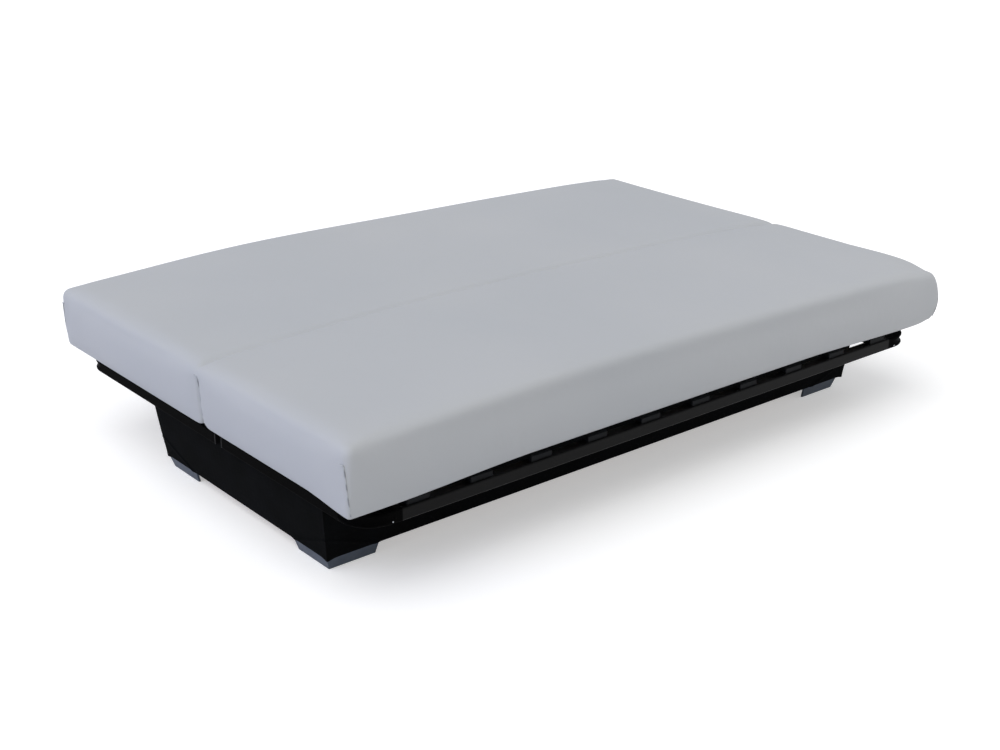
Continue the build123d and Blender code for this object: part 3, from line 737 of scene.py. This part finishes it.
def split_half(mattress, name, side):
    """One half of the mattress, cut at the crease and closed there."""
    take(mattress)
    bpy.ops.object.duplicate()
    half = bpy.context.object
    half.name = name
    bpy.ops.object.mode_set(mode="EDIT")
    bpy.ops.mesh.select_all(action="SELECT")
    bpy.ops.mesh.bisect(
        plane_co=(0, HINGE.y, 0),
        plane_no=(0, 1, 0),
        use_fill=True,
        clear_outer=side < 0,
        clear_inner=side > 0,
    )
    bpy.ops.object.mode_set(mode="OBJECT")
    half.data.materials.append(KNIT)
    smooth(half, 40)
    return half


def make_mattress():
    """Both halves of the mattress, shaped as one block and cut at the crease."""
    mattress = mattress_blank()
    write_points(mattress, shape_mattress(round_block(read_points(mattress), CLOTH_START)))
    simulate_cover(mattress)
    apply_modifier(mattress, "SUBSURF", levels=1, render_levels=1)
    write_points(mattress, press_crease(read_points(mattress)))
    seat = split_half(mattress, "seat_mattress", -1)
    back = split_half(mattress, "back_mattress", 1)
    bpy.data.objects.remove(mattress)
    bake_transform(seat)
    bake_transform(back)
    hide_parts("seat_mattress_cover", "seat_mattress_core")
    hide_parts("back_mattress_cover", "back_mattress_core", "mattress_fold")
    return seat, back


seat_mattress, back_mattress = make_mattress()

# Seams of the mattress: thin sewn ridges that lie on the cover

SEAM_WIDTH = 2.8 * MM
SEAM_PROUD = 0.9 * MM

# At a corner: its ends from the cover's foot and top, its lean to both sides, the fold on top
SEAM_FOOT = 5 * MM
SEAM_TOP = 33 * MM
SEAM_POINTS = 7
CORNER_REACH = 45 * MM
CORNER_BAND = 9 * MM
SIDE_LEAN = 5 * MM
END_LEAN = 8 * MM
EAR_PROUD = 2.7 * MM
EAR_LENGTH = 9 * MM
TIP_PROUD = 0.9 * MM
TIP_DROP = 1 * MM

# At an end of the crease: the same, and the stitch across its top
CREASE_SEAM_FOOT = 6 * MM
CREASE_SEAM_TOP = 24 * MM
CREASE_SEAM_POINTS = 6
END_REACH = 50 * MM
CREASE_REACH = 3 * MM
CREASE_BAND = 12 * MM
CREASE_SUNK = 0.4 * MM
STITCH_PLACES = (-1.8 * MM, 3.6 * MM, 9.6 * MM)
STITCH_RISE = 1 * MM


def round_wire(name, points, radius, material):
    """A round thread or wire along a few points."""
    deselect()
    curve = bpy.data.curves.new(name, "CURVE")
    curve.dimensions = "3D"
    curve.bevel_depth = radius
    curve.bevel_resolution = 2
    curve.use_fill_caps = True
    line = curve.splines.new("NURBS")
    line.points.add(len(points) - 1)
    for point, place in zip(line.points, points):
        point.co = (*place, 1)
    line.order_u = 3
    line.use_endpoint_u = True
    line.resolution_u = 8
    wire = bpy.data.objects.new(name, curve)
    bpy.context.scene.collection.objects.link(wire)
    take(wire)
    bpy.ops.object.convert(target="MESH")
    wire = bpy.context.object
    wire.data.materials.clear()
    wire.data.materials.append(material)
    smooth(wire, 60)
    return wire


def seam_line(name, points, body):
    """A sewn seam along a few points, which rides on one body."""
    seam = round_wire(name, points, SEAM_WIDTH / 2, SEAM_SHADED_THREAD)
    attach(seam, body)


def corner_edge(half, sign_x, sign_y):
    """Points up an upright edge of a half, read from the cover itself."""
    points = read_points(half)
    outward = sign_x * points[:, 0] + sign_y * points[:, 1]
    near = points[outward > outward.max() - CORNER_REACH]
    low, high = near[:, 2].min() + SEAM_FOOT, near[:, 2].max() - SEAM_TOP
    edge = []
    for height in np.linspace(low, high, SEAM_POINTS):
        band = near[np.abs(near[:, 2] - height) < CORNER_BAND]
        x, y, z = band[np.argmax(sign_x * band[:, 0] + sign_y * band[:, 1])]
        edge.append((x + sign_x * SEAM_PROUD, y + sign_y * SEAM_PROUD, z))
    return edge


def lean_seam(half, edge, sign_x, sign_y):
    """A corner's points moved round it: onto the end at the top, onto the long side at the foot."""
    leant = []
    for share, (x, y, z) in zip(np.linspace(0, 1, len(edge)), edge):
        target = (x - sign_x * SIDE_LEAN * (1 - share), y - sign_y * END_LEAN * share, z)
        _, place, normal, _ = half.closest_point_on_mesh(target)
        leant.append(place + SEAM_PROUD * normal)
    return leant


def make_corner_seams(seat, back):
    """A seam down each corner of the mattress, with a small fold standing out at its top."""
    for half, body, sign_y in ((seat, "seat", -1), (back, "back", 1)):
        for side_name, sign_x in (("left", -1), ("right", 1)):
            edge = lean_seam(half, corner_edge(half, sign_x, sign_y), sign_x, sign_y)
            x, y, z = edge[-1]
            ear = (x + sign_x * EAR_PROUD, y, z)
            tip = (x + sign_x * TIP_PROUD, y - sign_y * EAR_LENGTH, z - TIP_DROP)
            seam_line(f"{body}_corner_seam_{side_name}", edge + [ear, tip], body)


def make_crease_seams(half):
    """The seam down each end of the crease, with a short stitch across its top."""
    points = read_points(half)
    at_crease = points[np.abs(points[:, 1] - HINGE.y) < CREASE_REACH]
    for side_name, sign in (("left", -1), ("right", 1)):
        near = at_crease[sign * at_crease[:, 0] > MATTRESS_HIGH.x - END_REACH]
        low, high = near[:, 2].min() + CREASE_SEAM_FOOT, near[:, 2].max() - CREASE_SEAM_TOP
        line = []
        for height in np.linspace(low, high, CREASE_SEAM_POINTS):
            band = near[np.abs(near[:, 2] - height) < CREASE_BAND]
            reach = (sign * band[:, 0]).max()
            line.append((sign * (reach - CREASE_SUNK), HINGE.y, height))
        seam_line(f"crease_seam_{side_name}", line, "base")
        x, y, z = line[-1]
        stitch = [(x, y + place, z + STITCH_RISE) for place in STITCH_PLACES]
        seam_line(f"crease_stitch_{side_name}", stitch, "base")


make_corner_seams(seat_mattress, back_mattress)
make_crease_seams(seat_mattress)

# Box cover: black cloth drawn over the walls of the box and turned in at both rims

BOX_MIDDLE = (BOX_LOW + BOX_HIGH) / 2
BOX_LEAN = 18 * MM
COVER_TURN_IN = 13.5 * MM
COVER_PARTS = (30, 14, 3)
RIM_SHARE = 0.01

# Folds that are pulled to the corners, slack between them, and dips over the feet
FOLD_RUN = 130 * MM
FOLD_SHARE = 0.35
FOLD_WIDTH = 8 * MM
FOLD_PROUD = 2.4 * MM
SLACK_PROUD = 1.2 * MM
SLACK_RUNS = (95 * MM, 37 * MM)
FOOT_DIP = 4 * MM
FOOT_DIP_WIDTH = 14 * MM
FOOT_DIP_SHARE = 0.05


def box_line(share, inset):
    """Half sizes of the leaning box at a share of its height, drawn in by an inset."""
    grown = BOX_LEAN * (share - 1)
    half_x = (BOX_HIGH.x - BOX_LOW.x) / 2 + grown - inset
    half_y = (BOX_HIGH.y - BOX_LOW.y) / 2 + grown - inset
    return half_x, half_y


def select_faces(cover, chosen):
    """Go into edit mode with only the chosen faces selected."""
    bpy.context.tool_settings.mesh_select_mode = (False, False, True)
    bpy.ops.object.mode_set(mode="EDIT")
    bpy.ops.mesh.select_all(action="DESELECT")
    bpy.ops.object.mode_set(mode="OBJECT")
    for face in cover.data.polygons:
        face.select = chosen(face)
    bpy.ops.object.mode_set(mode="EDIT")


def cover_blank():
    """A cube from -1 to 1 without top and bottom but for a narrow rim, on an even grid."""
    deselect()
    bpy.ops.mesh.primitive_cube_add(size=2, location=(0, 0, 0))
    cover = bpy.context.object
    cover.name = "box_cloth"
    select_faces(cover, lambda face: abs(face.normal.z) > 0.5)
    bpy.ops.mesh.inset(thickness=RIM_SHARE)
    bpy.ops.mesh.delete(type="FACE")
    bpy.ops.object.mode_set(mode="OBJECT")
    for axis, parts in enumerate(COVER_PARTS):
        cut_lines(cover, axis, [i / parts for i in range(1 - parts, parts)])
    apply_modifier(cover, "SUBSURF", levels=3, render_levels=3, subdivision_type="SIMPLE")
    return cover


def make_box_cover():
    """The cover as a sheet round the box, with slack folds where it is pulled to the corners."""
    cover = cover_blank()
    unit_x, unit_y, unit_z = read_points(cover).T
    share = np.clip((unit_z + 1) / 2, 0, 1)
    wall = np.maximum(np.abs(unit_x), np.abs(unit_y)) > 1 - TINY
    half_x, half_y = box_line(share, np.where(wall, 0, COVER_TURN_IN))
    reach = np.where(wall, 1, 1 - RIM_SHARE)
    x = np.clip(unit_x / reach, -1, 1) * half_x
    y = np.clip(unit_y / reach, -1, 1) * half_y
    z = BOX_LOW.z + share * (BOX_HIGH.z - BOX_LOW.z)
    points = np.column_stack([x, y + BOX_MIDDLE.y, z])
    at_end = np.abs(unit_x) > np.abs(unit_y) - TINY
    write_points(cover, fold_cloth(points, wall, share, at_end))

    # All rows of the rim but its first lie on one line, so their faces have no area and go
    select_faces(cover, lambda face: not any(wall[corner] for corner in face.vertices))
    bpy.ops.mesh.delete(type="FACE")
    bpy.ops.mesh.select_all(action="SELECT")
    bpy.ops.mesh.remove_doubles(threshold=TINY)
    bpy.ops.object.mode_set(mode="OBJECT")

    cover.data.materials.append(BOX_WEAVE)
    smooth(cover, 50)
    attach(cover, "base")
    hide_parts("box_cover")


def fold_cloth(points, wall, share, at_end):
    """Small folds of the cloth that stand out of the walls, and its dips over the feet."""
    x, y, z = points.T
    y = y - BOX_MIDDLE.y
    half_x, half_y = box_line(share, 0)
    run = np.where(at_end, y, x)
    from_corner = np.where(at_end, half_y, half_x) - np.abs(run)
    pull = ridge(from_corner - FOLD_RUN * (1 - share / FOLD_SHARE), FOLD_WIDTH)
    pull = pull * (share < FOLD_SHARE)
    slack = 0.5 + 0.5 * np.sin(run / SLACK_RUNS[0]) * np.sin(run / SLACK_RUNS[1] + 2 * share)
    proud = (FOLD_PROUD * pull + SLACK_PROUD * slack * 4 * share * (1 - share)) * wall
    x = x + np.where(at_end, np.sign(x) * proud, 0)
    y = y + np.where(at_end, 0, np.sign(y) * proud)
    z = z - FOOT_DIP * ridge(from_corner, FOOT_DIP_WIDTH) * (share < FOOT_DIP_SHARE) * wall
    return np.column_stack([x, y + BOX_MIDDLE.y, z])


make_box_cover()

# Rivets at the bends of the seat's tube

RIVET_RADIUS = 2.2 * MM
RIVET_FROM_END = 80 * MM
RIVET_SUNK = 1 * MM
RIVET_RISE = 6 * MM


def make_rivets():
    """A domed steel rivet low on the outside of each front bend."""
    deselect()
    across = TUBE_HIGH.x - RIVET_FROM_END
    for side_name, sign in (("left", -1), ("right", 1)):
        bpy.ops.mesh.primitive_uv_sphere_add(
            segments=24,
            ring_count=12,
            radius=RIVET_RADIUS,
            location=(sign * across, TUBE_LOW.y + RIVET_SUNK, TUBE_LOW.z + RIVET_RISE),
        )
        rivet = bpy.context.object
        rivet.name = f"seat_bend_rivet_{side_name}"
        bpy.ops.object.transform_apply(location=True, rotation=True, scale=True)
        rivet.data.materials.append(ZINC_STEEL)
        smooth(rivet, 60)
        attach(rivet, "seat")


make_rivets()

# Springs of the pawls: a coil of turns of wire, with a straight stub at both ends

SPRING_WIRE = 0.6 * MM
SPRING_STUB = 7 * MM
SPRING_TURNS = 10
TURN_STEPS = 16


def make_pawl_springs():
    """Each pawl's coil spring, wound where its CAD part stands."""
    steps = SPRING_TURNS * TURN_STEPS
    for side_name, sign in (("left", -1), ("right", 1)):
        low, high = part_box(f"pawl_spring_{side_name}")
        middle = (low + high) / 2
        radius = (high.y - low.y) / 2 - SPRING_WIRE
        foot, top = low.z + SPRING_STUB, high.z - SPRING_STUB
        points = [(middle.x + sign * radius, middle.y, low.z)]
        for step in range(steps + 1):
            angle = 2 * pi * step / TURN_STEPS
            across = middle.x + sign * radius * cos(angle)
            rise = (top - foot) * step / steps
            points.append((across, middle.y + radius * sin(angle), foot + rise))
        points.append((middle.x + sign * radius, middle.y, high.z))
        spring = round_wire(f"pawl_coil_{side_name}", points, SPRING_WIRE, SPRING_STEEL)
        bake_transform(spring)
        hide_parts(f"pawl_spring_{side_name}")


make_pawl_springs()

# Floor, world and lamps

FLOOR_SIZE = 60
FLOOR_DROP = 0.5 * MM


def floor_material():
    """Pale matt studio floor, which the camera and reflections see a little brighter."""
    material, tree, place = new_material("studio_floor")
    rays = add_node(tree, "ShaderNodeLightPath")
    seen = add_node(
        tree,
        "ShaderNodeMath",
        {0: rays.outputs["Is Camera Ray"], 1: rays.outputs["Is Glossy Ray"]},
        operation="ADD",
    )
    seen = add_node(
        tree,
        "ShaderNodeMath",
        {0: seen.outputs["Value"], 1: rays.outputs["Is Transmission Ray"]},
        operation="ADD",
        use_clamp=True,
    )
    lift = add_node(tree, "ShaderNodeMath", {0: seen.outputs["Value"], 1: 0.4}, operation="MULTIPLY")
    matt = add_node(tree, "ShaderNodeBsdfDiffuse", {"Color": linear("#e6e6e6")})
    glow = add_node(
        tree, "ShaderNodeEmission", {"Color": linear("#ffffff"), "Strength": lift.outputs["Value"]}
    )
    both = add_node(
        tree, "ShaderNodeAddShader", {0: matt.outputs["BSDF"], 1: glow.outputs["Emission"]}
    )
    add_node(tree, "ShaderNodeOutputMaterial", {"Surface": both.outputs["Shader"]})
    return material


def make_floor():
    """A plain floor that reaches past the camera's view."""
    deselect()
    bpy.ops.mesh.primitive_plane_add(size=FLOOR_SIZE, location=(0, 0, -FLOOR_DROP))
    floor = bpy.context.object
    floor.name = "studio_floor"
    floor.data.materials.append(floor_material())


def make_world():
    """Even soft light from all round, which the camera sees white."""
    world = bpy.data.worlds.new("studio")
    world.use_nodes = True
    tree = world.node_tree
    tree.nodes.clear()
    rays = add_node(tree, "ShaderNodeLightPath")
    soft = add_node(
        tree, "ShaderNodeBackground", {"Color": linear("#fbfcff"), "Strength": 0.5}
    )
    white = add_node(tree, "ShaderNodeBackground", {"Color": linear("#ffffff"), "Strength": 1})
    mixed = add_node(
        tree,
        "ShaderNodeMixShader",
        {
            0: rays.outputs["Is Camera Ray"],
            1: soft.outputs["Background"],
            2: white.outputs["Background"],
        },
    )
    add_node(tree, "ShaderNodeOutputWorld", {"Surface": mixed.outputs["Shader"]})
    bpy.context.scene.world = world


def add_panel(name, place, target, power, size):
    """A square soft box that shines from a place to a target and leaves no highlight."""
    data = bpy.data.lights.new(name, "AREA")
    data.energy = power
    data.size = size
    data.specular_factor = 0.0
    lamp = bpy.data.objects.new(name, data)
    lamp.location = place
    lamp.rotation_euler = (Vector(place) - Vector(target)).to_track_quat("Z", "Y").to_euler()
    bpy.context.scene.collection.objects.link(lamp)


def add_sun(name, towards, strength, colour, spread, shine=1.0):
    """A broad distant lamp that shines from a direction; shine is how strong its highlights are."""
    data = bpy.data.lights.new(name, "SUN")
    data.specular_factor = shine
    data.energy = strength
    data.color = linear(colour)[:3]
    data.angle = radians(spread)
    lamp = bpy.data.objects.new(name, data)
    lamp.rotation_euler = Vector(towards).to_track_quat("Z", "Y").to_euler()
    bpy.context.scene.collection.objects.link(lamp)


make_floor()
make_world()
add_sun("key_lamp", (-0.45, -0.1, 0.88), strength=1.6, colour="#ffffff", spread=60)
add_panel("right_lamp", (3.0, -2.4, 0.8), target=(0.9, -0.6, 0.3), power=7.5, size=1.5)
add_sun("left_lamp", (-1, 0.35, 0.08), strength=0.7, colour="#5a84ff", spread=50, shine=0.0)
